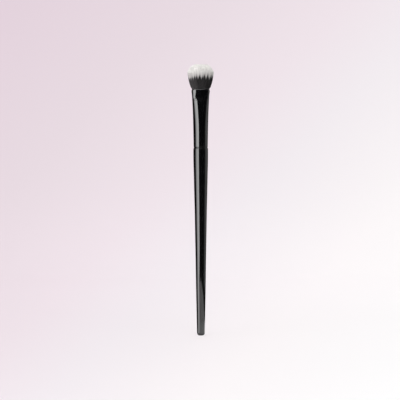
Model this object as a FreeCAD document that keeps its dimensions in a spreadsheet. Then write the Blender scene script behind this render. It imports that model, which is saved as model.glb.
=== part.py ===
import FreeCAD, Part
import os

import Sketcher

# An eyeshadow brush. It stands on the butt end of its handle, with the middle of that end at the
# origin, and +Z runs along the brush to the tip of the hair. The pressed mouth of the ferrule and
# the hair are widest along X and thinnest along Y, and -Y is the front.

SIZES = {
    # The turned handle: heights from the butt end, half widths from the middle line
    "handle_length": 110.7,
    "butt_half_width": 2.31,
    "butt_rounding": 1.4,
    "lower_height": 26.0,
    "lower_half_width": 2.8,
    "upper_height": 73.0,
    "upper_half_width": 3.58,
    "band_length": 3.9,
    "band_half_width": 4.325,
    "shoulder_rounding": 1.3,
    "shoulder_drop": 0.32,
    # The lacquer over the wood, which runs together a little thicker at the shoulder
    "lacquer": 0.12,
    "lacquer_build": 0.06,
    # The tenon, which goes up into the ferrule
    "tenon_length": 10.0,
    "tenon_half_width": 3.62,
    "tenon_chamfer": 0.6,
    "glue_groove": 0.3,
    "glue_groove_pitch": 2.6,
    "glue_groove_count": 3,
    # The drawn ferrule: round at the handle, oval above, and nipped flat by a press near the mouth
    "ferrule_length": 34.3,
    "ferrule_wall": 0.3,
    "socket_half_width": 4.145,
    "cone_length": 11.0,
    "cone_half_width": 4.34,
    "swell_length": 22.0,
    "swell_half_width": 4.65,
    "swell_half_thickness": 3.85,
    "press_length": 4.8,
    "press_blend": 1.5,
    "blend_half_width": 4.945,
    "blend_half_thickness": 3.35,
    "press_half_width": 5.03,
    "press_half_thickness": 2.4,
    "press_flat": 1.4,
    "flat_half_width": 5.11,
    "flat_half_thickness": 2.42,
    "mouth_half_width": 5.25,
    "mouth_half_thickness": 3.05,
    "lip_height": 0.9,
    "lip_swell": 0.1,
    "tube_face_angle": 22.0,
    "press_face_angle": 17.0,
    # The root of the hair and the epoxy that holds it
    "root_depth": 16.0,
    "plug_length": 9.0,
    "plug_floor": 2.5,
    "plug_wall": 0.7,
    # The free hair above the mouth: heights from the mouth, half widths and half thicknesses
    "hair_length": 15.0,
    "neck_height": 3.3,
    "neck_half_width": 6.2,
    "neck_half_thickness": 3.35,
    "flare_height": 6.0,
    "flare_half_width": 6.9,
    "flare_half_thickness": 3.75,
    "belly_height": 9.7,
    "belly_half_width": 7.78,
    "belly_half_thickness": 4.45,
    "dome_height": 12.9,
    "dome_half_width": 6.1,
    "dome_half_thickness": 3.4,
    "crown_height": 14.5,
    "crown_half_width": 4.8,
    "crown_half_thickness": 2.3,
    "tip_half_width": 3.8,
    "tip_half_thickness": 1.5,
    "hair_face_angle": 28.0,
}

doc = FreeCAD.newDocument("eyeshadow_brush")
sheet = doc.addObject("Spreadsheet::Sheet", "Sizes")
for row, (alias, number) in enumerate(SIZES.items(), 1):
    sheet.set(f"A{row}", alias)
    sheet.set(f"B{row}", str(number))
    sheet.setAlias(f"B{row}", alias)
doc.recompute()


def size(alias):
    """The expression that reads one size from the sheet."""
    return f"Sizes.{alias}"


def value(expression):
    """What an expression of sizes comes to now, for the first guess of a sketch's geometry."""
    return float(sheet.evalExpression(expression))


JOINT = size("handle_length")
MOUTH = f"({JOINT} + {size('ferrule_length')})"
PRESS = f"({MOUTH} - {size('press_length')})"
BLEND = f"({PRESS} - {size('press_blend')})"
FLAT = f"({PRESS} + {size('press_flat')})"
ROOT = f"({MOUTH} - {size('root_depth')})"
PLUG_TOP = f"({ROOT} + {size('plug_length')} - {size('plug_floor')})"


def plane_of(body, role):
    return [f for f in body.Origin.OriginFeatures if f.Role == role][0]


# In a sketch's constraints, point 1 of an edge is its start, 2 its end and 3 its centre. Edge -1
# is the X axis, whose point 1 is the sketch's origin, and edge -2 is the Y axis.


def set_distance(sketch, kind, edge, point, expression):
    """Holds a point of a sketch at a distance from its origin, along one axis."""
    rule = Sketcher.Constraint(kind, -1, 1, edge, point, value(expression))
    sketch.setExpression(f"Constraints[{sketch.addConstraint(rule)}]", expression)


def set_radius(sketch, edge, expression):
    rule = Sketcher.Constraint("Radius", edge, value(expression))
    sketch.setExpression(f"Constraints[{sketch.addConstraint(rule)}]", expression)


def outline(sketch, corners, arcs):
    """Draws a closed outline through corners, each a pair of expressions.

    arcs gives the radius of the sides that are arcs, by the number of their first corner. An arc
    bulges away from the middle line.
    """
    points = [FreeCAD.Vector(value(x), value(y), 0) for x, y in corners]
    for i, first in enumerate(points):
        last = points[(i + 1) % len(points)]
        if i not in arcs:
            sketch.addGeometry(Part.LineSegment(first, last))
            continue
        radius = value(arcs[i])
        chord = last - first
        outward = FreeCAD.Vector(chord.y, -chord.x, 0).normalize()
        rise = radius - (radius**2 - (chord.Length / 2) ** 2) ** 0.5
        sketch.addGeometry(Part.Arc(first, (first + last) / 2 + outward * rise, last))
    for i, (x, y) in enumerate(corners):
        before = (i - 1) % len(corners)
        sketch.addConstraint(Sketcher.Constraint("Coincident", before, 2, i, 1))
        for kind, axis, expression in (("DistanceX", -2, x), ("DistanceY", -1, y)):
            if expression == "0":
                sketch.addConstraint(Sketcher.Constraint("PointOnObject", i, 1, axis))
            else:
                set_distance(sketch, kind, i, 1, expression)
    for i, expression in arcs.items():
        set_radius(sketch, i, expression)


def handle_corners(inset, build):
    """The handle's outline from the butt end up to the edge of the shoulder, under a skin.

    The skin is thicker by build where the straight band meets the shoulder.
    """

    def under(alias):
        return f"{size(alias)} - {inset}"

    band_top = f"{JOINT} - {size('shoulder_rounding')}"
    return [
        (f"{size('butt_half_width')} - {size('butt_rounding')}", inset),
        (under("butt_half_width"), size("butt_rounding")),
        (under("lower_half_width"), size("lower_height")),
        (under("upper_half_width"), size("upper_height")),
        (under("band_half_width"), f"{band_top} - {size('band_length')}"),
        (f"{under('band_half_width')} - {build}", band_top),
        (f"{under('band_half_width')} - {build} - {size('shoulder_drop')}", JOINT),
    ]


def turned(body, name, corners, arcs):
    """A revolution about the middle line of an outline in the body's XZ plane."""
    sketch = body.newObject("Sketcher::SketchObject", f"{name}_sketch")
    sketch.AttachmentSupport = (plane_of(body, "XZ_Plane"), [""])
    sketch.MapMode = "FlatFace"
    outline(sketch, corners, arcs)
    revolution = body.newObject("PartDesign::Revolution", name)
    revolution.Profile = sketch
    revolution.ReferenceAxis = (sketch, ["V_Axis"])
    revolution.Angle = 360
    return revolution


def edge_arcs(inset):
    """The rounded corners of the handle's outline, by the corner that they start from."""
    # The shoulder's arc stands upright where it leaves the band, so its radius follows from
    # its height and from how far it comes in.
    height, drop = size("shoulder_rounding"), size("shoulder_drop")
    return {
        1: f"{size('butt_rounding')} - {inset}",
        6: f"({height} * {height} + {drop} * {drop}) / (2 * {drop})",
    }


def make_handle_core():
    """The birch handle, under its lacquer, with the tenon and its glue grooves."""
    body = doc.addObject("PartDesign::Body", "handle_core")
    inset = size("lacquer")
    tenon, top = size("tenon_half_width"), f"{JOINT} + {size('tenon_length')}"
    chamfer = size("tenon_chamfer")
    corners = [("0", inset)] + handle_corners(inset, size("lacquer_build"))
    corners += [
        (tenon, JOINT),
        (tenon, f"{top} - {chamfer}"),
        (f"{tenon} - {chamfer}", top),
        ("0", top),
    ]
    turned(body, "turned_handle", corners, edge_arcs(inset))

    sketch = body.newObject("Sketcher::SketchObject", "glue_groove_sketch")
    sketch.AttachmentSupport = (plane_of(body, "XZ_Plane"), [""])
    sketch.MapMode = "FlatFace"
    radius, height = size("glue_groove"), f"{JOINT} + {size('glue_groove_pitch')}"
    centre = FreeCAD.Vector(value(tenon), value(height), 0)
    upright = FreeCAD.Vector(0, 0, 1)
    sketch.addGeometry(Part.Circle(centre, upright, value(radius)))
    set_radius(sketch, 0, radius)
    set_distance(sketch, "DistanceX", 0, 3, tenon)
    set_distance(sketch, "DistanceY", 0, 3, height)
    groove = body.newObject("PartDesign::Groove", "glue_groove")
    groove.Profile = sketch
    groove.ReferenceAxis = (sketch, ["V_Axis"])
    groove.Angle = 360
    doc.recompute()
    pattern = body.newObject("PartDesign::LinearPattern", "glue_grooves")
    pattern.Originals = [groove]
    pattern.Direction = (sketch, ["V_Axis"])
    pattern.setExpression("Occurrences", size("glue_groove_count"))
    pattern.setExpression("Length", f"{size('glue_groove_pitch')} * ({size('glue_groove_count')} - 1)")
    body.Tip = pattern
    return body


def make_handle_lacquer(core):
    """The black lacquer over the handle, from the shoulder down and over the butt end."""
    whole = doc.addObject("PartDesign::Body", "handle_outside")
    corners = [("0", "0")] + handle_corners("0", "0") + [("0", JOINT)]
    turned(whole, "turned_outside", corners, edge_arcs("0"))
    skin = doc.addObject("Part::Cut", "handle_lacquer")
    skin.Base = whole
    skin.Tool = core
    return skin


def oval(name, height, half_width, half_thickness, angle):
    """A flat oval of four tangent arcs at a height: two faces along X and two round ends.

    Each face's arc turns by angle to each side of the Y axis, and the ends turn the rest. With
    equal half widths it is a circle.
    """
    spread = f"(({half_width}) - ({half_thickness})) / (cos({angle}) + sin({angle}) - 1)"
    end_centre = f"({spread}) * sin({angle})"
    end_radius = f"({half_width}) - ({spread}) * sin({angle})"
    face_centre = f"({spread}) * cos({angle})"
    face_radius = f"({half_thickness}) + ({spread}) * cos({angle})"
    sketch = doc.addObject("Sketcher::SketchObject", name)
    sketch.setExpression("Placement.Base.z", height)

    upright = FreeCAD.Vector(0, 0, 1)
    turn = FreeCAD.Units.Quantity(f"{value(angle)} deg").getValueAs("rad").Value
    quarter = FreeCAD.Units.Quantity("90 deg").getValueAs("rad").Value
    x, y = value(end_centre), value(face_centre)
    arcs = [
        (x, 0, value(end_radius), turn - quarter, quarter - turn),
        (0, -y, value(face_radius), quarter - turn, quarter + turn),
        (-x, 0, value(end_radius), quarter + turn, 3 * quarter - turn),
        (0, y, value(face_radius), 3 * quarter - turn, 3 * quarter + turn),
    ]
    for cx, cy, radius, first, last in arcs:
        circle = Part.Circle(FreeCAD.Vector(cx, cy, 0), upright, radius)
        sketch.addGeometry(Part.ArcOfCircle(circle, first, last))
    right, back, left, front = range(4)
    for rule in (
        ("Tangent", right, 2, back, 1),
        ("Tangent", back, 2, left, 1),
        ("Tangent", front, 2, right, 1),
        ("Coincident", left, 2, front, 1),
        ("Symmetric", back, 1, back, 2, -2),
        ("Symmetric", front, 1, front, 2, -2),
        ("Symmetric", right, 1, right, 2, -1),
    ):
        sketch.addConstraint(Sketcher.Constraint(*rule))
    set_radius(sketch, right, end_radius)
    set_radius(sketch, back, face_radius)
    set_distance(sketch, "DistanceX", right, 3, end_centre)
    return sketch


def loft(name, sections, ruled):
    solid = doc.addObject("Part::Loft", name)
    solid.Sections = sections
    solid.Solid = True
    solid.Ruled = ruled
    return solid


def ferrule_loft(name, inset, lip):
    """The solid inside one surface of the ferrule: the outside, or the bore one wall further in.

    The outside swells by lip, half way up the lip at the mouth.
    """
    tube, press = size("tube_face_angle"), size("press_face_angle")
    lip_foot, lip_middle = (f"{MOUTH} - {size('lip_height')} / {part}" for part in (1, 2))
    stations = [
        (JOINT, "socket_half_width", "socket_half_width", tube, "0"),
        (f"{JOINT} + {size('cone_length')}", "cone_half_width", "cone_half_width", tube, "0"),
        (f"{JOINT} + {size('swell_length')}", "swell_half_width", "swell_half_thickness", tube, "0"),
        (BLEND, "blend_half_width", "blend_half_thickness", tube, "0"),
        (PRESS, "press_half_width", "press_half_thickness", press, "0"),
        (FLAT, "flat_half_width", "flat_half_thickness", press, "0"),
        (lip_foot, "mouth_half_width", "mouth_half_thickness", press, "0"),
        (lip_middle, "mouth_half_width", "mouth_half_thickness", press, lip),
        (MOUTH, "mouth_half_width", "mouth_half_thickness", press, "0"),
    ]
    sections = []
    for i, (height, wide, thick, angle, swell) in enumerate(stations):
        a, b = (f"{size(half)} - {inset} + {swell}" for half in (wide, thick))
        sections.append(oval(f"{name}_section_{i + 1}", height, a, b, angle))
    return loft(name, sections, ruled=True)


def bore_stretch(name, bore, low, high):
    """What fills the ferrule's bore between two heights."""
    window = doc.addObject("Part::Cylinder", f"{name}_window")
    window.setExpression("Radius", size("mouth_half_width"))
    window.setExpression("Height", f"({high}) - ({low})")
    window.setExpression("Placement.Base.z", low)
    stretch = doc.addObject("Part::Common", f"{name}_stretch")
    stretch.Base = bore
    stretch.Tool = window
    return stretch


def make_ferrule(bore):
    """The ferrule: a thin drawn tube, open at both ends."""
    tube = doc.addObject("Part::Cut", "ferrule")
    tube.Base = ferrule_loft("ferrule_outside", "0", size("lip_swell"))
    tube.Tool = bore
    return tube


def make_tenon_glue(bore, core):
    """The adhesive between the tenon and the ferrule, which also fills the tenon's grooves."""
    top = f"{JOINT} + {size('tenon_length')}"
    glue = doc.addObject("Part::Cut", "tenon_glue")
    glue.Base = bore_stretch("tenon_glue", bore, JOINT, top)
    glue.Tool = core
    return glue


def hair_root():
    """The stub of hair that stands in the cup of epoxy."""
    angle, inset = size("tube_face_angle"), f"({size('ferrule_wall')} + {size('plug_wall')})"
    a = f"{size('cone_half_width')} - {inset}"
    b = f"{size('swell_half_thickness')} - {inset}"
    ends = (("low", ROOT), ("high", PLUG_TOP))
    sections = [oval(f"hair_root_{end}", height, a, b, angle) for end, height in ends]
    return loft("hair_root", sections, ruled=True)


def make_root_plug(bore, root):
    """The cup of epoxy around and under the hair's roots."""
    plug = doc.addObject("Part::Cut", "root_plug")
    plug.Base = bore_stretch("root_plug", bore, f"{ROOT} - {size('plug_floor')}", PLUG_TOP)
    plug.Tool = root
    return plug


def make_tuft(bore, root):
    """The bundle of hair: its stub in the epoxy, the held stretch and the free fluffy dome."""
    angle, press = size("hair_face_angle"), size("press_face_angle")
    a = f"{size('mouth_half_width')} - {size('ferrule_wall')}"
    b = f"{size('mouth_half_thickness')} - {size('ferrule_wall')}"
    sections = [oval("hair_at_mouth", MOUTH, a, b, press)]
    for part in ("neck", "flare", "belly", "dome", "crown"):
        height = f"{MOUTH} + {size(part + '_height')}"
        wide, thick = size(f"{part}_half_width"), size(f"{part}_half_thickness")
        sections.append(oval(f"hair_{part}", height, wide, thick, angle))
    top = f"{MOUTH} + {size('hair_length')}"
    wide, thick = size("tip_half_width"), size("tip_half_thickness")
    sections.append(oval("hair_tip", top, wide, thick, angle))
    tuft = doc.addObject("Part::MultiFuse", "tuft")
    held = bore_stretch("held_hair", bore, PLUG_TOP, MOUTH)
    tuft.Shapes = [root, held, loft("free_hair", sections, ruled=False)]
    return tuft


handle_core = make_handle_core()
handle_lacquer = make_handle_lacquer(handle_core)
ferrule_bore = ferrule_loft("ferrule_bore", size("ferrule_wall"), "0")
root_stub = hair_root()
pieces = [
    handle_core,
    handle_lacquer,
    make_ferrule(ferrule_bore),
    make_tenon_glue(ferrule_bore, handle_core),
    make_root_plug(ferrule_bore, root_stub),
    make_tuft(ferrule_bore, root_stub),
]
doc.recompute()

for obj in doc.Objects:
    if "Invalid" in obj.State or "Error" in obj.State:
        raise SystemExit(f"{obj.Name} has failed: {obj.State}")
for piece in pieces:
    if piece.Shape.isNull() or not piece.Shape.isValid():
        raise SystemExit(f"{piece.Name} has no valid shape")

os.makedirs("parts", exist_ok=True)
for piece in pieces:
    shape = piece.Shape
    box = shape.BoundBox
    print(
        f"{piece.Label}: {len(shape.Solids)} solid, {shape.Volume:.1f} mm3,"
        f" X {box.XMin:.2f} to {box.XMax:.2f}, Y {box.YMin:.2f} to {box.YMax:.2f},"
        f" Z {box.ZMin:.2f} to {box.ZMax:.2f}"
    )
    shape.exportStep(f"parts/{piece.Label}.step")
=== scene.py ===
# %% [markdown]
# # An eyeshadow brush
# A slim turned handle in gloss black lacquer, a drawn ferrule in gloss black, and a fluffy
# tuft of hair with charcoal roots and white tips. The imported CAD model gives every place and
# size. This script loads it as a fixed frame and then dresses it, one piece at a time.

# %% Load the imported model
import math

import bpy
import numpy as np
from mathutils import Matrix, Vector


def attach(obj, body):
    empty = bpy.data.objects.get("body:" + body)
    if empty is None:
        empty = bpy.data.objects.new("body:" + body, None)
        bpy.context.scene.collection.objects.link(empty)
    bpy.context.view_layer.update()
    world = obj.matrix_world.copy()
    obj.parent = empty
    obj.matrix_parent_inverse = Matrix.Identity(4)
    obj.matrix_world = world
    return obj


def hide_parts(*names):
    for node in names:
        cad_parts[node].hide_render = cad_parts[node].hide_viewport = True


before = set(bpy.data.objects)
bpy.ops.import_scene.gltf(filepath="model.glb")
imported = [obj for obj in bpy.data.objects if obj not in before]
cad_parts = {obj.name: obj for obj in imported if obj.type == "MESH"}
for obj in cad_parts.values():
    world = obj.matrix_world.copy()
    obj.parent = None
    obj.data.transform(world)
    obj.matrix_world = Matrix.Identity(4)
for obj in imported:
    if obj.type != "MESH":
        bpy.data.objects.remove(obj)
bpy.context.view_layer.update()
MM = 0.001

# %% [markdown]
# ## Arithmetic on sockets
# A material is a graph of nodes, and long sums are hard to read as links. So one small class
# wraps an output socket, and each operator on it adds one Math node. A second class holds the
# tree and makes every other node through one method: the settings come first, then the values
# and links of its inputs. Colours go through Mix nodes, because a Math node turns them grey.


# %% Sockets with operators
class Wire:
    """An output socket that can stand in a sum."""

    def __init__(self, nodes, socket):
        self.nodes = nodes
        self.socket = socket

    def beside(self, name):
        """Another output of the same node."""
        return Wire(self.nodes, self.socket.node.outputs[name])

    def __add__(self, other):
        return self.nodes.math("ADD", self, other)

    def __sub__(self, other):
        return self.nodes.math("SUBTRACT", self, other)

    def __rsub__(self, other):
        return self.nodes.math("SUBTRACT", other, self)

    def __mul__(self, other):
        return self.nodes.math("MULTIPLY", self, other)

    def __truediv__(self, other):
        return self.nodes.math("DIVIDE", self, other)

    def __rtruediv__(self, other):
        return self.nodes.math("DIVIDE", other, self)

    __radd__ = __add__
    __rmul__ = __mul__


# %% One way to make a node, and the nodes that this brush needs
class Nodes:
    """A node tree that starts empty."""

    def __init__(self, tree):
        self.tree = tree
        tree.nodes.clear()

    def add(self, kind, settings=None, inputs=None, output=0):
        """A node of any kind: its settings first, then the values and links of its inputs."""
        node = self.tree.nodes.new(kind)
        for key, value in (settings or {}).items():
            if key == "stops":
                ramp = node.color_ramp
                while len(ramp.elements) < len(value):
                    ramp.elements.new(0.5)
                for element, (place, tone) in zip(ramp.elements, value):
                    element.position = place
                    element.color = (*tone, 1)
            else:
                setattr(node, key, value)
        for key, value in (inputs or {}).items():
            if isinstance(value, Wire):
                self.tree.links.new(value.socket, node.inputs[key])
            else:
                node.inputs[key].default_value = value
        return Wire(self, node.outputs[output]) if node.outputs else node

    def math(self, operation, first, second):
        return self.add("ShaderNodeMath", {"operation": operation}, {0: first, 1: second})

    def place(self):
        """Where a point of the piece is, in metres."""
        return self.add("ShaderNodeTexCoord", output="Object")

    def stretched(self, scale):
        """The piece's own coordinates, scaled along each axis."""
        return self.add("ShaderNodeMapping", None, {"Vector": self.place(), "Scale": scale})

    def kept(self, name):
        """A number that is kept on the points of the piece."""
        return self.add("ShaderNodeAttribute", {"attribute_name": name}, None, "Fac")

    def noise(self, vector, detail, roughness=0.5):
        """Soft cloudy noise, as fine as the vector is stretched."""
        inputs = {"Vector": vector, "Scale": 1.0, "Detail": detail, "Roughness": roughness}
        return self.add("ShaderNodeTexNoise", None, inputs)

    def ramp(self, factor, stops):
        """Colours from one stop to the next as the factor grows."""
        return self.add("ShaderNodeValToRGB", {"stops": stops}, {0: factor})

    def smooth(self, value, low, high):
        """0 below low, 1 above high, and a soft step between."""
        settings = {"interpolation_type": "SMOOTHSTEP"}
        return self.add("ShaderNodeMapRange", settings, {0: value, 1: low, 2: high})

    def blend(self, factor, first, second):
        """The first colour where the factor is 0, the second where it is 1."""
        inputs = {0: factor, 6: first, 7: second}
        return self.add("ShaderNodeMix", {"data_type": "RGBA"}, inputs, 2)

    def bump(self, height, depth):
        """A surface raised by the height, in metres where it is 1."""
        inputs = {"Height": height, "Distance": depth, "Strength": 1.0}
        return self.add("ShaderNodeBump", None, inputs)

    def seen(self):
        """1 for what the camera, gloss and glass see, and 0 for light that falls on things."""
        rays = self.add("ShaderNodeLightPath")
        return rays + rays.beside("Is Glossy Ray") + rays.beside("Is Transmission Ray")

    def surface(self, **inputs):
        """The shader for a solid surface, as the material's output."""
        named = {key.replace("_", " "): value for key, value in inputs.items()}
        self.finish_with(self.add("ShaderNodeBsdfPrincipled", None, named))

    def finish_with(self, shader, kind="ShaderNodeOutputMaterial"):
        self.add(kind, None, {"Surface": shader})
        print(f"{self.tree.id_data.name}: {len(self.tree.nodes)} nodes")


# %% Materials and colours
MICRON = 0.000001


def finish(name):
    """A new material and its empty tree."""
    material = bpy.data.materials.new(name)
    material.use_nodes = True
    return material, Nodes(material.node_tree)


def colour(red, green, blue):
    """A colour written as on a paint card, 0 to 255, in the linear light that nodes use."""
    shares = (c / 255 for c in (red, green, blue))
    return tuple(c / 12.92 if c <= 0.04045 else ((c + 0.055) / 1.055) ** 2.4 for c in shares)


print("middle grey on the paint card:", colour(128, 128, 128))

# %% [markdown]
# ## The camera
# The joint between handle and ferrule shows as a straight line, so the camera is level with
# the middle of the brush and looks along +Y. A short lens would swell what is near, so this is
# a 100 mm lens from 0.655 m, which gives a field 236 mm high. The brush leans a hair to one
# side in the frame, which is a roll of the camera.

# %% Camera
CAMERA_PLACE = (-0.00045, -0.655, 0.0798)
CAMERA_ROLL = 0.07

camera_data = bpy.data.cameras.new("camera")
camera_data.lens = 100
camera_data.sensor_width = 36
camera = bpy.data.objects.new("camera", camera_data)
bpy.context.scene.collection.objects.link(camera)
camera.location = CAMERA_PLACE
camera.rotation_euler = (math.radians(90), math.radians(CAMERA_ROLL), 0)
bpy.context.scene.camera = camera
bpy.context.scene.view_settings.view_transform = "Standard"
field = camera_data.sensor_width / camera_data.lens * abs(camera.location.y)
print(f"field at the brush: {field / MM:.1f} mm")

# %% [markdown]
# ## Floor and backdrop
# A flat floor and a wall would show an edge between them, so a studio uses a sweep: one sheet
# of paper, flat under the brush and then curved up. This one has a gentle wash of colour, from
# a soft lilac pink at the upper left to white at the lower right. The wash is painted on the
# paper itself, by the paper's own coordinates, and spreads wider towards the back. The wall is
# almost plain colour. On the floor a larger share is lit paper, which keeps the brush's soft
# shadow.


# %% Helpers that turn points and faces into a piece
def new_piece(name, points, faces, material):
    """A smooth mesh object from points in millimetres."""
    mesh = bpy.data.meshes.new(name)
    mesh.from_pydata((np.asarray(points) * MM).tolist(), [], faces)
    mesh.polygons.foreach_set("use_smooth", [True] * len(mesh.polygons))
    mesh.materials.append(material)
    mesh.update()
    piece = bpy.data.objects.new(name, mesh)
    bpy.context.scene.collection.objects.link(piece)
    return piece


def keep_values(piece, values):
    """Keeps named numbers on the points of a piece, for its material to read."""
    for name, numbers in values.items():
        attribute = piece.data.attributes.new(name, "FLOAT", "POINT")
        attribute.data.foreach_set("value", numbers)


def grid_faces(rows, columns, closed):
    """The quads between rows of points; closed joins each row's last point to its first."""
    faces = []
    for row in range(rows - 1):
        here = row * columns
        above = here + columns
        for one in range(columns if closed else columns - 1):
            two = (one + 1) % columns
            faces.append((here + one, here + two, above + two, above + one))
    return faces


print("a ring of 4 points under another:", grid_faces(2, 4, True))

# %% The sweep's paper
WASH = [
    (0.00, colour(227, 210, 220)),
    (0.25, colour(232, 219, 226)),
    (0.44, colour(239, 228, 234)),
    (0.56, colour(242, 236, 240)),
    (0.75, colour(251, 247, 248)),
    (1.00, colour(255, 255, 255)),
]
# In metres: the wash is moved to one side, and fans out from a line in front of the brush.
WASH_SHIFT = 0.08
WASH_FAN_START = 0.655
WASH_LEAST_SPREAD = 0.3
WASH_SLOPE = 1.389
# How bright the plain colour is, and its share of the paper. The rest of the paper is lit.
FLOOR_GLOW, WALL_GLOW = 0.9, 1.0
FLOOR_PLAIN, WALL_PLAIN = 0.76, 0.96

paper, n = finish("studio_paper")
across = n.add("ShaderNodeSeparateXYZ", None, {0: n.place()})
depth = across.beside("Y")
height = across.beside("Z")
spread = n.math("MAXIMUM", depth + WASH_FAN_START, WASH_LEAST_SPREAD)
wash = 0.5 + (across - height + WASH_SHIFT) * WASH_SLOPE / spread
wash_colour = n.ramp(wash, WASH)
lit = n.add("ShaderNodeBsdfDiffuse", None, {"Color": wash_colour})
glow = FLOOR_GLOW + n.smooth(depth, -0.2, 0.45) * (WALL_GLOW - FLOOR_GLOW)
glowing = n.add("ShaderNodeVectorMath", {"operation": "SCALE"}, {0: wash_colour, "Scale": glow})
plain = n.add("ShaderNodeEmission", None, {"Color": glowing})
plain_share = FLOOR_PLAIN + n.smooth(height, 0.0, 0.12) * (WALL_PLAIN - FLOOR_PLAIN)
n.finish_with(n.add("ShaderNodeMixShader", None, {0: n.seen() * plain_share, 1: lit, 2: plain}))

# %% The sweep
FLOOR_BACK = 450
SWEEP_RADIUS = 150
SWEEP_REACH = 2500
SWEEP_HALF_WIDTH = 3000
FLOOR_ROWS = (-SWEEP_REACH, -600, 0)

sweep_line = [(y, 0) for y in FLOOR_ROWS]
for turn in np.radians(np.linspace(0, 90, 13)):
    curve = (FLOOR_BACK + SWEEP_RADIUS * math.sin(turn), SWEEP_RADIUS * (1 - math.cos(turn)))
    sweep_line.append(curve)
sweep_line.append((FLOOR_BACK + SWEEP_RADIUS, SWEEP_REACH))
points = [(x, y, z) for y, z in sweep_line for x in (-SWEEP_HALF_WIDTH, SWEEP_HALF_WIDTH)]
sweep = new_piece("sweep", points, grid_faces(len(sweep_line), 2, False), paper)
print("sweep:", len(sweep.data.polygons), "faces")

# %% [markdown]
# ## Lamps and world
# A small lamp would throw a hard shadow from every hair, so the lamps are large and soft. The
# key is at the left front, a weaker fill at the right front and higher, and a rear lamp gives
# the back and the top of the tuft their light. The world adds an even, lower light from all
# round. Together they light a white card to about white, so that a colour renders about as it
# is written. In a reflection the world looks like the paper, and the lamps don't show: the
# streaks in the gloss are drawn by the cards of the next step.

# %% World
AROUND_STRENGTH = 0.35

world = bpy.data.worlds.new("studio")
bpy.context.scene.world = world
world.use_nodes = True
n = Nodes(world.node_tree)
white_light = {"Color": (1, 1, 1, 1), "Strength": AROUND_STRENGTH}
around = n.add("ShaderNodeBackground", None, white_light)
paper_light = {"Color": (*colour(246, 241, 244), 1), "Strength": 1.0}
pale = n.add("ShaderNodeBackground", None, paper_light)
shader = n.add("ShaderNodeMixShader", None, {0: n.seen(), 1: around, 2: pale})
n.finish_with(shader, "ShaderNodeOutputWorld")

# %% Lamps
AIM = Vector((0, 0, 0.1))


def soft_lamp(name, azimuth, elevation, distance, width, power):
    """A square lamp aimed at the upper part of the brush; azimuth is to the camera's right."""
    light = bpy.data.lights.new(name, "AREA")
    light.size = width
    light.energy = power
    lamp = bpy.data.objects.new(name, light)
    bpy.context.scene.collection.objects.link(lamp)
    a = math.radians(azimuth)
    e = math.radians(elevation)
    away = Vector((math.sin(a) * math.cos(e), -math.cos(a) * math.cos(e), math.sin(e)))
    lamp.location = AIM + away * distance
    lamp.rotation_euler = away.to_track_quat("Z", "Y").to_euler()
    lamp.visible_glossy = False
    lamp.visible_camera = False


soft_lamp("key_lamp", azimuth=-47, elevation=26, distance=0.8, width=0.5, power=4.7)
soft_lamp("fill_lamp", azimuth=30, elevation=48, distance=0.9, width=0.6, power=4.3)
soft_lamp("rear_lamp", azimuth=172, elevation=62, distance=0.9, width=0.6, power=2.6)

# %% [markdown]
# ## Cards for the gloss
# Black gloss has no look of its own: it shows what stands around it. So a photographer builds
# the reflections with cards: a bright softbox on the left whose near edge is sharp, a dim grey
# panel on the right, and black flags where the gloss should stay black. A dimmer band across
# the softbox is what the slope of the nip mirrors, and a bright strip in front is what the lip
# of the mouth mirrors as a thin line. Canopies close the view overhead, and a low skirt behind
# hides the curve of the sweep from the ferrule's back. Cards that lie on the floor carry the
# streaks on down to the butt end.
#
# Each card is a curved sheet on a circle round the brush, from one azimuth to another, and its
# glow is kept as a number on its points. Lamps could do this too, but a card's edge and glow
# are easier to set. The cards show only in reflections, so they neither light the hair nor
# hide the view from another side.

# %% The cards' material
card_material, n = finish("card")
n.finish_with(n.add("ShaderNodeEmission", None, {"Color": n.kept("glow")}))


# %% A card, standing or lying
def only_in_gloss(piece):
    piece.visible_camera = False
    piece.visible_diffuse = False
    piece.visible_shadow = False
    piece.visible_transmission = False
    piece.visible_volume_scatter = False


def rim(distance, height, share=1.0, lean=0.0):
    """One edge of a card, round the brush.

    The distance is one number, or azimuths and distances for an edge that isn't a circle. The
    share is of the card's glow. A lean turns the edge's second end by that many degrees.
    """
    return distance, height, share, lean


def card(name, azimuths, glows, rims):
    """A sheet whose points run from one azimuth to another along each rim."""
    steps = np.arange(azimuths[0], azimuths[-1] + 0.5, 1.0)
    glow = np.interp(steps, azimuths, glows)
    along = np.linspace(0, 1, len(steps))
    points = []
    shares = []
    for distance, height, share, lean in rims:
        if isinstance(distance, tuple):
            distance = np.interp(steps, *distance)
        a = np.radians(steps + lean * along)
        points.append(np.stack([distance * np.sin(a), -distance * np.cos(a), 0 * a + height], 1))
        shares.append(glow * share)
    faces = grid_faces(len(rims), len(steps), False)
    piece = new_piece(name, np.concatenate(points), faces, card_material)
    keep_values(piece, {"glow": np.concatenate(shares)})
    only_in_gloss(piece)


# %% Softbox, panel, flags and canopies
BLACK = [0.01, 0.01]
NEAR_BLACK = [0.014, 0.014]
SOFTBOX_AZIMUTHS = [-93, -85, -77, -64, -54, -42, -35, -31, -30]
SOFTBOX_GLOWS = [0.02, 1.0, 2.4, 3.7, 4.2, 4.5, 4.5, 4.3, 0.05]
PANEL_AZIMUTHS = [70, 80, 92, 104, 120, 138]
PANEL_GLOWS = [0.05, 0.35, 0.5, 0.6, 0.42, 0.15]
STRIP_AZIMUTHS = [-28, -15, 0, 18, 30, 37, 50]
STRIP_GLOWS = [1.6, 2.2, 1.9, 1.0, 0.5, 0.2, 0.05]

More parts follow.
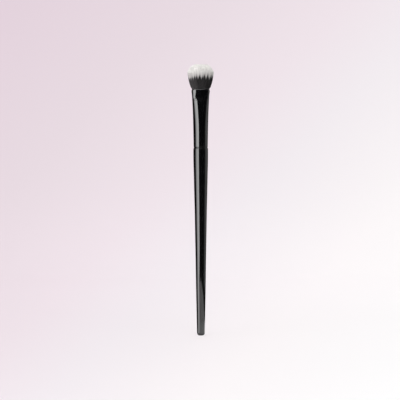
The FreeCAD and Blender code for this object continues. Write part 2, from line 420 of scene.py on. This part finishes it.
softbox_rims = [rim(650, 0, 1.0, 3.0), rim(650, 60), rim(650, 1500)]
card("softbox", SOFTBOX_AZIMUTHS, SOFTBOX_GLOWS, softbox_rims)
card("left_flag", [-176, -93], BLACK, [rim(560, 0), rim(560, 800)])
card("front_flag", [-36, 70], NEAR_BLACK, [rim(660, 0), rim(660, 700)])
card("right_panel", PANEL_AZIMUTHS, PANEL_GLOWS, [rim(285, 0), rim(285, 700)])
card("rear_flag", [138, 184], BLACK, [rim(560, 0), rim(560, 700)])
card("rear_skirt", [138, 267], BLACK, [rim(440, 0), rim(440, 160)])
card("canopy_flag", [-47, 70], NEAR_BLACK, [rim(660, 700), rim(50, 870)])
card("canopy_grey", [70, 250], [0.12, 0.12], [rim(660, 700), rim(0, 900)])
card("top_light", [-180, 70], [3.8, 3.8], [rim(900, 1000), rim(0, 1000)])
card("softbox_band", [-93, -28], [0.1, 0.5], [rim(645, 370), rim(645, 505)])
card("rim_strip", STRIP_AZIMUTHS, STRIP_GLOWS, [rim(640, 430), rim(640, 488)])

# %% Cards that lie on the floor
LOW = 0.4
LOWER = 0.3
POOL = ([-45, 0, 35, 56, 70, 85, 110, 184], [300, 325, 253, 203, 160, 118, 75, 60])

board = [rim(9, LOW, 0.74, -13), rim(310, LOW, 0.88, -11), rim(650, LOW, 1.0, 3.0)]
card("bounce_board", SOFTBOX_AZIMUTHS, SOFTBOX_GLOWS, board)
card("left_floor_flag", [-176, -93], BLACK, [rim(9, LOW), rim(560, LOW)])
card("right_floor_flag", [-45, 184], NEAR_BLACK, [rim(POOL, LOWER), rim(662, LOWER)])
# What the gloss sees of the floor round the butt: a painted pool of light, brighter than the
# paper, and at its middle a painted contact shadow, dark right under the butt.
pool = [rim(2.4, LOW, 0.1), rim(4.5, LOW), rim(30, LOW), rim(59, LOW, 0.85)]
card("pool_light_and_shadow", [-38, 184], [1.25, 1.25], pool)

# %% [markdown]
# ## Curves and ovals
# The handle is turned, so every section is a circle. The ferrule starts as a circle and is
# pressed to a flat oval, which is four arcs that run into each other: two wide faces and two
# tight ends. A squashed circle would be simpler, but its faces are too round for pressed tube.
# The helpers here give a smooth curve through a few measured points, and a section whose
# points are placed by the direction they face, so that sections join without a twist.


# %% A smooth curve through measured points
def smooth_curve(knots, values, at):
    """A curve through points that rises and falls only where they do."""
    knots = np.asarray(knots, float)
    values = np.asarray(values, float)
    steps = np.diff(knots)
    slopes = np.diff(values) / steps
    tangents = np.concatenate(([slopes[0]], np.zeros(len(steps) - 1), [slopes[-1]]))
    for i in range(1, len(steps)):
        before, after = slopes[i - 1], slopes[i]
        if before * after > 0:
            w1 = 2 * steps[i] + steps[i - 1]
            w2 = steps[i] + 2 * steps[i - 1]
            tangents[i] = (w1 + w2) / (w1 / before + w2 / after)
    at = np.asarray(at, float)
    i = np.clip(np.searchsorted(knots, at) - 1, 0, len(steps) - 1)
    t = (at - knots[i]) / steps[i]
    start = (1 + 2 * t) * (1 - t) ** 2 * values[i] + t * (1 - t) ** 2 * steps[i] * tangents[i]
    end = t**2 * (3 - 2 * t) * values[i + 1] + t**2 * (t - 1) * steps[i] * tangents[i + 1]
    return start + end


print("between 1 and 2:", float(smooth_curve([0, 1, 2], [1, 2, 2], 0.5)))


# %% A flat oval section
def oval(half_width, half_thickness, face_angle, facing):
    """Points of a flat oval, by the direction that each faces, in radians from +X."""
    turn = np.radians(face_angle)
    spread = (half_width - half_thickness) / (np.cos(turn) + np.sin(turn) - 1)
    end_centre = spread * np.sin(turn)
    face_centre = spread * np.cos(turn)
    c = np.cos(facing)
    s = np.sin(facing)
    on_face = np.abs(s) > np.cos(turn)
    end_x = np.sign(c) * end_centre + (half_width - end_centre) * c
    x = np.where(on_face, (half_thickness + face_centre) * c, end_x)
    face_y = -np.sign(s) * face_centre + (half_thickness + face_centre) * s
    y = np.where(on_face, face_y, (half_width - end_centre) * s)
    return x, y


print("widest point of an oval:", float(oval(5.0, 3.0, 20.0, 0.0)[0]))


# %% A skin over rings of points
def skin(name, rings, material, loop=False):
    """A closed skin over rings of points. A loop joins the last ring to the first."""
    count = len(rings[0])
    points = np.concatenate(rings)
    faces = grid_faces(len(rings), count, True)
    last = (len(rings) - 1) * count
    around = [(i, (i + 1) % count) for i in range(count)]
    if loop:
        faces += [(last + i, last + j, j, i) for i, j in around]
    else:
        points = np.concatenate([points, [rings[0].mean(0)], [rings[-1].mean(0)]])
        foot = len(points) - 2
        faces += [(foot, j, i) for i, j in around]
        faces += [(foot + 1, last + i, last + j) for i, j in around]
    return new_piece(name, points, faces, material)


# %% [markdown]
# ## The lacquer's finish
# The handle is dipped: several thin coats run together to a deep gloss. Up close such a coat
# isn't a perfect mirror. It keeps a faint swell from the wood under it, a finer orange peel
# from drying, and a few dull patches where fingers hold it. A plain black shader would look
# like glass, so a slow noise and a fine noise raise the surface by microns, and a third
# changes the roughness and the near black of the colour.

# %% Black lacquer
lacquer_material, n = finish("black_lacquer")
swell = n.noise(n.stretched((160, 160, 22)), 2.0)
peel = n.noise(n.stretched((900, 900, 900)), 2.0)
handled = n.noise(n.stretched((90, 90, 40)), 4.0, 0.6)
n.surface(
    Base_Color=n.ramp(handled, [(0.35, colour(5, 5, 6)), (0.7, colour(8, 8, 9))]),
    Roughness=0.07 + n.smooth(handled, 0.5, 0.8) * 0.05,
    IOR=1.72,
    Normal=n.bump(swell + peel * 0.05, 40 * MICRON),
)

# %% [markdown]
# ## The handle
# A spindle that was turned on a lathe: slim and rounded at the butt, fuller towards the
# ferrule, with a short straight band and a soft shoulder where the ferrule sits down on it. A
# lathe in mesh code is one outline swept round the middle line. The Screw modifier could do
# the same, but the ferrule's ovals need rings of points anyway, so the handle uses them too.
# The outline goes up the outside, over the shoulder, and back down inside the coat, so the
# lacquer is a real skin.

# %% The handle's sizes, in millimetres
JOINT_HEIGHT = 110.7
BUTT_FLAT_RINGS = (0.25, 0.6)
BUTT_ROUNDING = 1.4
BUTT_HALF_WIDTH = 2.31
BAND_HALF_WIDTH = 4.325
BAND_TOP = 109.4
SHOULDER_DROP = 0.32
COAT = 0.115
SEAM_HALF_WIDTH = 3.93
SEAM_INNER_HALF_WIDTH = 3.78
SEAM_TOP = JOINT_HEIGHT + 0.18
TURNED_HEIGHTS = [BUTT_ROUNDING, 14.0, 26.0, 45.0, 60.0, 73.0, 86.0, 97.0, 105.5, BAND_TOP]
TURNED_HALF_WIDTHS = [
    BUTT_HALF_WIDTH, 2.55, 2.80, 3.09, 3.36, 3.58, 3.90, 4.14, 4.32, BAND_HALF_WIDTH,
]
HANDLE_POINTS = 128
print(f"handle: {JOINT_HEIGHT} mm to the joint, {2 * BAND_HALF_WIDTH} mm wide at the band")

# %% The handle's outline, from the butt up to the shoulder and back inside
outline = [(r, 0.0) for r in BUTT_FLAT_RINGS]
rounding_centre = BUTT_HALF_WIDTH - BUTT_ROUNDING
for turn in np.radians(np.linspace(-90, 0, 14)):
    radius = rounding_centre + BUTT_ROUNDING * math.cos(turn)
    outline.append((radius, BUTT_ROUNDING * (1 + math.sin(turn))))
heights = np.concatenate([np.arange(2.2, 105.0, 0.8), np.arange(105.2, BAND_TOP, 0.4)])
outline += list(zip(smooth_curve(TURNED_HEIGHTS, TURNED_HALF_WIDTHS, heights), heights))
rise = JOINT_HEIGHT - BAND_TOP
shoulder_radius = (rise**2 + SHOULDER_DROP**2) / (2 * SHOULDER_DROP)
for up in np.linspace(0, rise, 12):
    inward = shoulder_radius - math.sqrt(shoulder_radius**2 - up**2)
    outline.append((BAND_HALF_WIDTH - inward, BAND_TOP + up))
inside = [(r - COAT, z + COAT * (z < BUTT_ROUNDING)) for r, z in outline[3:-2]]
outline += [(SEAM_HALF_WIDTH, JOINT_HEIGHT), (SEAM_HALF_WIDTH, SEAM_TOP)]
outline.append((SEAM_INNER_HALF_WIDTH, SEAM_TOP))
outline += inside[::-1]
print("outline:", len(outline), "points")

# %% Handle
facing = np.linspace(0, 2 * math.pi, HANDLE_POINTS, endpoint=False)
circle = np.stack([np.cos(facing), np.sin(facing)], 1)
rings = [np.column_stack([circle * r, np.full(HANDLE_POINTS, z)]) for r, z in outline]
handle = skin("lacquered_handle", rings, lacquer_material)
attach(handle, "root")
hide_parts("handle_lacquer")
print(handle.name, len(handle.data.polygons), "faces")

# %% [markdown]
# ## The ferrule's finish
# The ferrule is drawn from thin metal and enamelled, so its gloss is harder and crisper than
# the lacquer's. Drawing leaves faint lines along the tube, and pressing the mouth leaves the
# enamel a touch less flat there. The lines could be modelled, but they are far thinner than a
# hair, so a noise that is stretched along Z raises them in the shader.

# %% Black enamel
ferrule_material, n = finish("black_enamel")
drawn = n.noise(n.stretched((2600, 2600, 14)), 3.0)
dents = n.noise(n.stretched((420, 420, 260)), 2.0)
smudge = n.noise(n.stretched((150, 150, 90)), 4.0, 0.6)
n.surface(
    Base_Color=n.ramp(smudge, [(0.3, colour(3, 3, 4)), (0.75, colour(6, 6, 7))]),
    Roughness=0.045 + n.smooth(smudge, 0.5, 0.85) * 0.05,
    IOR=1.8,
    Normal=n.bump(drawn * 0.05 + dents * 0.35, 20 * MICRON),
)

# %% [markdown]
# ## The ferrule
# A tube that is round at the handle and widens slightly as it flattens. Near its mouth a
# press has nipped it to a flat oval, which leaves a clear break across the tube, and the very
# edge is rolled to a small lip. Bending a plain cylinder would lose the sharp break, so the
# tube is a skin over sections that follow those stations. The wall is real: the skin turns
# over the lip and goes back down inside.

# %% The ferrule's stations, in millimetres and degrees
MOUTH_HEIGHT = 145.0
WALL = 0.3
TUBE_HEIGHTS = [JOINT_HEIGHT, 121.7, 132.7, 138.7]
TUBE_HALF_WIDTHS = [4.145, 4.34, 4.65, 4.945]
TUBE_HALF_THICKNESSES = [4.145, 4.34, 3.85, 3.35]
NIP_HEIGHTS = [
    138.0, 138.2, 138.35, 139.5, 139.7, 140.5, 141.2, 142.0, 142.8, 143.6, 144.0, 144.44,
]
NIP_HALF_WIDTHS = [4.91, 4.92, 4.93, 4.99, 5.005, 5.05, 5.10, 5.17, 5.26, 5.38, 5.41, 5.30]
NIP_HALF_THICKNESSES = [
    3.415, 3.392, 3.34, 2.635, 2.57, 2.53, 2.58, 2.69, 2.80, 2.91, 2.955, 2.98,
]
NIP_ANGLES = [22.0, 21.8, 21.5, 18.5, 18.0, 17.0, 17.2, 18.0, 19.0, 20.0, 20.0, 20.0]


def ferrule_section(height):
    """Half width, half thickness and face angle of the outside at a height."""
    if height <= NIP_HEIGHTS[0]:
        wide = smooth_curve(TUBE_HEIGHTS, TUBE_HALF_WIDTHS, height)
        thick = smooth_curve(TUBE_HEIGHTS, TUBE_HALF_THICKNESSES, height)
        return float(wide), float(thick), NIP_ANGLES[0]
    wide = smooth_curve(NIP_HEIGHTS, NIP_HALF_WIDTHS, height)
    thick = smooth_curve(NIP_HEIGHTS, NIP_HALF_THICKNESSES, height)
    return float(wide), float(thick), float(np.interp(height, NIP_HEIGHTS, NIP_ANGLES))


print("section in the middle of the nip:", ferrule_section(141.0))

# %% A ring of the ferrule
FACE_POINTS = 20
END_POINTS = 52
face_share = np.linspace(-1, 1, FACE_POINTS, endpoint=False)
end_share = np.linspace(-1, 1, END_POINTS, endpoint=False)


def facing_of(angle):
    """Directions round a section: more points on the tight ends, and enough on the faces."""
    face = face_share * angle
    end = end_share * (90 - angle)
    return np.radians(np.concatenate([end, 90 + face, 180 + end, 270 + face]))


def ferrule_ring(height, inset, section=None):
    """A ring at a height, moved in by the inset from a section or from the outside there."""
    wide, thick, angle = section or ferrule_section(height)
    x, y = oval(wide - inset, thick - inset, angle, facing_of(angle))
    return np.stack([x, y, np.full(len(x), height)], 1)


print("points in a ring:", len(ferrule_ring(MOUTH_HEIGHT - 5, 0)))

# %% Ferrule
FOOT = 110.88
EDGE = 0.1
LIP = [
    (144.58, 0.025), (144.73, 0.051), (144.88, 0.077), (144.925, 0.093), (144.96, 0.12),
    (144.985, 0.165), (MOUTH_HEIGHT, 0.225), (MOUTH_HEIGHT, WALL),
]
BREAK_BOTTOM = 138.0
BREAK_TOP = 140.1

lip_section = ferrule_section(NIP_HEIGHTS[-1])
rings = []
for turn in np.radians([0, 22, 45, 67]):
    rings.append(ferrule_ring(FOOT + EDGE * (1 - math.cos(turn)), EDGE * (1 - math.sin(turn))))
up_the_tube = np.linspace(FOOT + EDGE, BREAK_BOTTOM - 0.2, 58)
over_the_break = np.arange(BREAK_BOTTOM, BREAK_TOP, 0.06)
up_to_the_lip = np.linspace(BREAK_TOP + 0.1, NIP_HEIGHTS[-1], 22)
for height in np.concatenate([up_the_tube, over_the_break, up_to_the_lip]):
    rings.append(ferrule_ring(height, 0))
rings += [ferrule_ring(height, inset, lip_section) for height, inset in LIP]
rings += [ferrule_ring(h, WALL) for h in np.linspace(MOUTH_HEIGHT - 0.6, FOOT, 40)]
ferrule = skin("enamelled_ferrule", rings, ferrule_material, loop=True)
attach(ferrule, "root")
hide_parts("ferrule")
print(ferrule.name, len(ferrule.data.polygons), "faces")

# %% [markdown]
# ## The hair's finish
# The hair is charcoal at the root and white at the tip, and the change comes at a slightly
# different height in each hair. Hairs of one lock change together, lowest in the middle of
# the lock, so the line between dark and white is a row of points. A ramp up the whole tuft
# would draw a straight line instead. So each hair carries three numbers: how far above its own
# change a point is, its tone in the dark part, and how pale it is in the white part. The dark
# tone also holds a painted sheen, lighter on the left side of the tuft, and the paleness holds
# painted shade, duller at the far left edge and towards the right. One material reads all three.

# %% Hair
HAIR_ROOT = (0.0200, 0.0183, 0.0188)
HAIR_TIP = (0.95, 0.935, 0.905)
DARKEST, LIGHTEST = 0.22, 2.3
DULLEST = 0.76
FIRST_WHITE = 0.68
FIBRE_STRAY = 0.8


def shaded(tone, share):
    """A colour with a share of its light."""
    return (*[c * share for c in tone], 1)


hair_material, n = finish("hair")
fibre = n.noise(n.stretched((5000, 5000, 350)), 2.0)
above = n.kept("above_change") + (fibre - 0.5) * FIBRE_STRAY
# The white greys towards its lower end: partly the hair's own slow change to white, partly
# painted shade for the depth of the tuft.
fullness_and_depth_shade = FIRST_WHITE + n.smooth(above, -0.5, 5.5) * (1 - FIRST_WHITE)
white = n.smooth(above, -1.1, 0.9) * fullness_and_depth_shade
# The dark part's tone holds a painted sheen: roots on the left side of the tuft are lighter.
dark_tone = n.blend(n.kept("shade"), shaded(HAIR_ROOT, DARKEST), shaded(HAIR_ROOT, LIGHTEST))
# The white part's paleness holds painted shade: tips at the far left edge and on the right are
# duller.
white_tone = n.blend(n.kept("paler"), shaded(HAIR_TIP, DULLEST), shaded(HAIR_TIP, 1.0))
n.surface(
    Base_Color=n.blend(white, dark_tone, white_tone),
    Roughness=0.62 - white * 0.1,
    IOR=1.4,
    Normal=n.bump(fibre, 10 * MICRON),
)

# %% [markdown]
# ## The tuft
# A tuft this size holds some thousands of hairs. They stand together in the epoxy, pass the
# pressed mouth, and spring apart into a flat fan that is cut to a soft dome. Blender's own
# hair could be combed to that, but here every hair has to stay inside a known form, so each is
# a thin tapered tube in mesh code. Its root is a point of the mouth, its path follows the
# flare, and it ends where it meets the dome. Hairs lean a little towards the middle of their
# lock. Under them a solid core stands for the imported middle, so that no light comes through.
#
# Heights in these cells are above the mouth, in millimetres. A share of the way out is 0 on
# the middle line and 1 at the skin of the tuft.

# %% Flare
ROOT_HEIGHTS = [-17.0, -6.9, -5.4, -4.8, -3.7, 0.0]
ROOT_HALF_WIDTHS = [4.10, 4.50, 4.62, 4.66, 4.72, 4.92]
ROOT_HALF_THICKNESSES = [3.60, 2.95, 2.15, 2.06, 2.06, 2.58]
FAN_HEIGHTS = [0.5, 1.7, 2.9, 4.0, 5.2, 6.0, 7.6, 9.4, 12.9, 15.2]
FAN_HALF_WIDTHS = [5.46, 5.92, 6.32, 6.64, 6.93, 7.06, 7.27, 7.70, 8.30, 8.55]
FAN_HALF_THICKNESSES = [2.90, 3.08, 3.25, 3.45, 3.66, 3.80, 4.10, 4.42, 4.80, 4.95]
FLARE_HEIGHTS = ROOT_HEIGHTS + FAN_HEIGHTS
FLARE_HALF_WIDTHS = ROOT_HALF_WIDTHS + FAN_HALF_WIDTHS
FLARE_HALF_THICKNESSES = ROOT_HALF_THICKNESSES + FAN_HALF_THICKNESSES
MOUTH_ANGLE = 17.0
FAN_ANGLE = 28.0
ANGLE_HEIGHTS = [-6.5, -4.8, 0.0, 3.3]
ANGLES = [22.0, MOUTH_ANGLE, MOUTH_ANGLE, FAN_ANGLE]


def turned(facing, angle):
    """Directions at the mouth, spread over a section whose faces have another angle.

    Hairs of a face stay on the face, and those of an end stay on the end, so none bunch up.
    """
    quarter = math.pi / 2
    mouth = math.radians(MOUTH_ANGLE)
    now = np.radians(angle)
    off_face = np.arcsin(np.abs(np.cos(facing)))
    on_end = quarter - (quarter - off_face) * (quarter - now) / (quarter - mouth)
    off_face = np.where(off_face < mouth, off_face * now / mouth, on_end)
    y = np.sign(np.sin(facing)) * np.cos(off_face)
    return np.arctan2(y, np.sign(np.cos(facing)) * np.sin(off_face))


def flare(height, share, facing):
    """Where a hair is at a height above the mouth, by its share of the way out."""
    wide = smooth_curve(FLARE_HEIGHTS, FLARE_HALF_WIDTHS, height)
    thick = smooth_curve(FLARE_HEIGHTS, FLARE_HALF_THICKNESSES, height)
    angle = np.interp(height, ANGLE_HEIGHTS, ANGLES)
    x, y = oval(wide, thick, angle, turned(facing, angle))
    return x * share, y * share


print("half width 8 mm above the mouth:", float(flare(8.0, 1.0, 0.0)[0]))

# %% Roots
MOUTH = ROOT_HEIGHTS.index(0.0)


def roots(around, outward, inner=0.0):
    """Evenly spread roots from two numbers of 0 to 1: shares of the way out, and directions.

    The shares run from the inner one to 1.
    """
    fine = np.linspace(0, 2 * math.pi, 721)
    x, y = oval(FLARE_HALF_WIDTHS[MOUTH], FLARE_HALF_THICKNESSES[MOUTH], MOUTH_ANGLE, fine)
    sectors = np.abs(x[:-1] * y[1:] - x[1:] * y[:-1])
    reach = np.concatenate([[0], np.cumsum(sectors)])
    facing = np.interp(around * reach[-1], reach, fine)
    share = np.sqrt(inner**2 + (1 - inner**2) * outward)
    return share, facing


print("share and direction of one root:", [float(v) for v in roots(0.5, 0.25)])

# %% Locks, each with its own place, change, tones with painted light, and length
rng = np.random.default_rng(11)
LOCKS = 145
LOCK_HEIGHT = 8.0
LOCK_START = 0.85
GOLDEN = 0.618034
CHANGE_PLACES = [-6.5, -3.0, -1.5, 2.5, 5.0]
CHANGE_RISES = [-0.45, -0.3, 0.25, 0.3, 0.35]
CHANGE_SPREAD = 0.17
SHADE_LEAST = 0.05
SHADE_SPREAD = 0.25
# Painted sheen: how much lighter the roots are on the left side of the tuft, and from where.
LEFT_SHEEN = 0.6
LEFT_SHEEN_FROM = -2.2
LEFT_SHEEN_WITHIN = 1.2
# Painted shade: how pale the tips may be across the tuft, duller at the far left edge and on the
# right.
TIP_LIGHT_PLACES = [-7.5, -6.2, -4.6, 1.0, 5.5]
TIP_LIGHT_SHARES = [0.0, 0.5, 1.15, 1.0, 0.4]
LIFT_SPREAD = 0.05

# Steps of the golden share round the mouth never meet, so the locks spread evenly.
number = np.arange(LOCKS)
lock_share, lock_facing = roots((number * GOLDEN + LOCK_START) % 1, (number + 0.5) / LOCKS)
lock_x, lock_y = flare(np.full(LOCKS, LOCK_HEIGHT), lock_share, lock_facing)
lock_change = np.interp(lock_x, CHANGE_PLACES, CHANGE_RISES)
lock_change = lock_change + rng.normal(0, CHANGE_SPREAD, LOCKS)
lock_tone_and_sheen = SHADE_LEAST + SHADE_SPREAD * rng.random(LOCKS)
# Painted sheen: lighter roots on the left side of the tuft, as if they caught the softbox.
lock_tone_and_sheen = lock_tone_and_sheen + LEFT_SHEEN * np.clip((LEFT_SHEEN_FROM - lock_x) / LEFT_SHEEN_WITHIN, 0, 1)
# Random paleness of the tips, held down at the far left edge and towards the right: painted
# shade.
lock_paleness_and_shade = rng.random(LOCKS) * np.interp(lock_x, TIP_LIGHT_PLACES, TIP_LIGHT_SHARES)
lock_lift = rng.normal(0, LIFT_SPREAD, LOCKS)
print("locks:", LOCKS, "from", round(lock_x.min(), 1), "to", round(lock_x.max(), 1), "mm across")

# %% The hairs' sizes, in millimetres
HAIR_THICKNESS = 0.15
TAPER = 0.72
SIDES = 3
STEPS = np.array([0, 0.165, 0.24, 0.34, 0.45, 0.57, 0.69, 0.81, 0.92, 1.0])
ROOT_BELOW = 3.0
DOME_SHARES = [0.0, 0.30, 0.45, 0.57, 0.73, 0.90, 1.0]
DOME_HEIGHTS = [14.95, 14.9, 14.75, 14.3, 12.9, 10.9, 9.9]
TOP = 14.97
TIP_STRAY = 0.16
LEAN_HEIGHT = 14
LEAN = 0.30
STRAY_ACROSS = 0.3
STRAY_THROUGH = 0.28
MOST_ACROSS = 7.70
MOST_THROUGH = 4.38
THIN_WAY_WEIGHT = 1.2
print(f"hair: {HAIR_THICKNESS} mm thick, {HAIR_THICKNESS * (1 - TAPER):.3f} mm at the tip")


# %% Paths of the hairs
def hair_paths(count, inner):
    """Points along each hair, the number of its lock, and how far it is from the lock."""
    share, facing = roots(rng.random(count), rng.random(count), inner)
    x, y = flare(np.full(count, LOCK_HEIGHT), share, facing)
    gap = np.hypot(x[:, None] - lock_x, (y[:, None] - lock_y) * THIN_WAY_WEIGHT)
    lock = gap.argmin(1)
    tip = np.interp(share, DOME_SHARES, DOME_HEIGHTS)
    tip = tip + lock_lift[lock] - np.abs(rng.normal(0, TIP_STRAY, count))
    tip = np.minimum(tip, TOP)
    height = -ROOT_BELOW + STEPS * (tip[:, None] + ROOT_BELOW)
    x, y = flare(height, share[:, None], facing[:, None])
    middle_x, middle_y = flare(height, lock_share[lock][:, None], lock_facing[lock][:, None])
    bend = np.clip(height / LEAN_HEIGHT, 0, 1) ** 2
    x = x + (middle_x - x) * LEAN * bend + rng.normal(0, STRAY_ACROSS, count)[:, None] * bend
    y = y + (middle_y - y) * LEAN * bend + rng.normal(0, STRAY_THROUGH, count)[:, None] * bend
    x = np.clip(x, -MOST_ACROSS, MOST_ACROSS)
    y = np.clip(y, -MOST_THROUGH, MOST_THROUGH)
    return np.stack([x, y, height], 2), lock, gap.min(1)


# %% Tones of the hairs
CHANGE_HEIGHT = 8.15
POINT_DEPTH = 2.35
POINT_REACH = 0.76
CHANGE_STRAY = 0.43
SHADE_STRAY = 0.25
PALER_OF_LOCK = 0.75
PALER_STRAY = 0.35


def hair_tones(lock, gap):
    """Each hair's change height, dark tone with painted sheen, and paleness with painted light.
    """
    count = len(lock)
    change = CHANGE_HEIGHT - POINT_DEPTH * (1 - np.clip(gap / POINT_REACH, 0, 1))
    change = change + lock_change[lock] + rng.normal(0, CHANGE_STRAY, count)
    shade = np.clip(lock_tone_and_sheen[lock] + SHADE_STRAY * (rng.random(count) - 0.5), 0, 1)
    paler = np.clip(PALER_OF_LOCK * lock_paleness_and_shade[lock] + PALER_STRAY * rng.random(count), 0, 1)
    return change, shade, paler


# %% Tubes
def tubes(name, centre, radius, turn):
    """A thin tube along each row of middle points."""
    count, steps = centre.shape[:2]
    points = np.empty((count, steps, SIDES, 3))
    for side in range(SIDES):
        angle = turn + side * 2 * math.pi / SIDES
        points[:, :, side, 0] = centre[:, :, 0] + radius * np.cos(angle)
        points[:, :, side, 1] = centre[:, :, 1] + radius * np.sin(angle)
        points[:, :, side, 2] = centre[:, :, 2]
    last = (steps - 1) * SIDES
    one = grid_faces(steps, SIDES, True) + [(2, 1, 0), (last, last + 1, last + 2)]
    faces = []
    for start in range(0, count * steps * SIDES, steps * SIDES):
        faces += [tuple(i + start for i in face) for face in one]
    return new_piece(name, points.reshape(-1, 3), faces, hair_material)


# %% Hairs
def hairs(name, count, inner=0.0):
    """Hairs whose roots lie from the inner share of the way out to the skin of the tuft."""
    path, lock, gap = hair_paths(count, inner)
    height = path[:, :, 2]
    along = np.clip(height / LEAN_HEIGHT, 0, 1)
    radius = 0.5 * HAIR_THICKNESS * (1 - TAPER * along**3)
    turn = rng.random(count)[:, None] * 2 * math.pi
    piece = tubes(name, path + (0, 0, MOUTH_HEIGHT), radius, turn)
    change, shade, paler = hair_tones(lock, gap)
    keep_values(piece, {
        "above_change": np.repeat((height - change[:, None]).ravel(), SIDES),
        "shade": np.repeat(shade, len(STEPS) * SIDES),
        "paler": np.repeat(paler, len(STEPS) * SIDES),
    })
    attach(piece, "root")
    print(name, count, "hairs,", len(piece.data.polygons), "faces")
    return piece


outer_hairs = hairs("outer_hairs", 3400, inner=0.72)
inner_hairs = hairs("inner_hairs", 3000)
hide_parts("tuft")

# %% [markdown]
# ## The core of the tuft
# Deep between the hairs nothing can be told apart. More hairs could fill that space, but they
# would only slow the render. A solid in the same form, a fifth smaller, fills it instead, from
# the roots in the epoxy up to a little over a millimetre under the dome, and wears the same
# finish: charcoal below and white above, with a wavy line between.

# %% Core of the tuft
CORE_HEIGHTS = [-16.0, -3.0, 0.0, 7.0, 9.0, 10.6, 11.8, 12.7, 13.4, 13.7]
CORE_SHARES = [0.94, 0.94, 0.86, 0.82, 0.81, 0.79, 0.73, 0.63, 0.44, 0.25]
CORE_CHANGE = 8.6
CORE_SHADE = 0.1
CORE_PALER = 0.05

core_facing = facing_of(FAN_ANGLE)
rings = []
for height in np.concatenate([[-15.9, -9.6], np.linspace(-9.0, CORE_HEIGHTS[-1], 44)]):
    fill = np.interp(height, CORE_HEIGHTS, CORE_SHARES)
    x, y = flare(np.full(len(core_facing), height), fill, core_facing)
    rings.append(np.stack([x, y, np.full(len(x), MOUTH_HEIGHT + height)], 1))
core = skin("hair_core", rings, hair_material)
where = np.array([v.co for v in core.data.vertices]) / MM
wave = 0.8 * np.sin(where[:, 0] * 2.9) + 0.5 * np.sin(where[:, 0] * 6.1 + 1)
keep_values(core, {
    "above_change": where[:, 2] - MOUTH_HEIGHT - CORE_CHANGE + wave,
    "shade": np.full(len(where), CORE_SHADE),
    "paler": np.full(len(where), CORE_PALER),
})
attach(core, "root")
print(core.name, len(core.data.polygons), "faces")

# %% [markdown]
# ## What is hidden inside
# The birch under the lacquer, the adhesive round the tenon and the epoxy round the roots keep
# their CAD shapes, which are right as they are. They still get finishes of their own, for a
# cut or an exploded view: birch is pale with fine long grain, the adhesive is milky, and the
# epoxy is amber. Noise that is stretched along Z is grain, and rings round Z are the years of
# growth; the set adhesives get a cloudy colour and the dimples of small bubbles.


# %% Birch
def dress(name, material):
    """Puts a finish on a CAD node."""
    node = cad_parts[name]
    node.data.materials.clear()
    node.data.materials.append(material)


birch_material, n = finish("birch")
grain = n.noise(n.stretched((900, 900, 25)), 5.0, 0.6)
growth = n.add(
    "ShaderNodeTexWave",
    {"wave_type": "RINGS", "rings_direction": "Z"},
    {"Vector": n.place(), "Scale": 260.0, "Distortion": 3.0, "Detail": 2.0},
    "Fac",
)
figure = grain * 0.6 + growth * 0.4
n.surface(
    Base_Color=n.ramp(figure, [(0.3, colour(196, 160, 118)), (0.7, colour(226, 198, 158))]),
    Roughness=0.55 + grain * 0.2,
    Normal=n.bump(grain, 30 * MICRON),
)
dress("handle_core", birch_material)

# %% Adhesive and epoxy
for node_name, name, dark, light, roughness in (
    ("tenon_glue", "tenon_adhesive", colour(206, 200, 184), colour(232, 228, 214), 0.45),
    ("root_plug", "root_epoxy", colour(150, 104, 48), colour(196, 150, 84), 0.2),
):
    material, n = finish(name)
    cloud = n.noise(n.stretched((400, 400, 300)), 4.0)
    bubbles = n.add("ShaderNodeTexVoronoi", None, {"Vector": n.place(), "Scale": 1600.0})
    n.surface(
        Base_Color=n.ramp(cloud, [(0.3, dark), (0.7, light)]),
        Roughness=roughness + cloud * 0.1,
        Normal=n.bump(n.smooth(bubbles, 0.0, 0.3), 20 * MICRON),
    )
    dress(node_name, material)
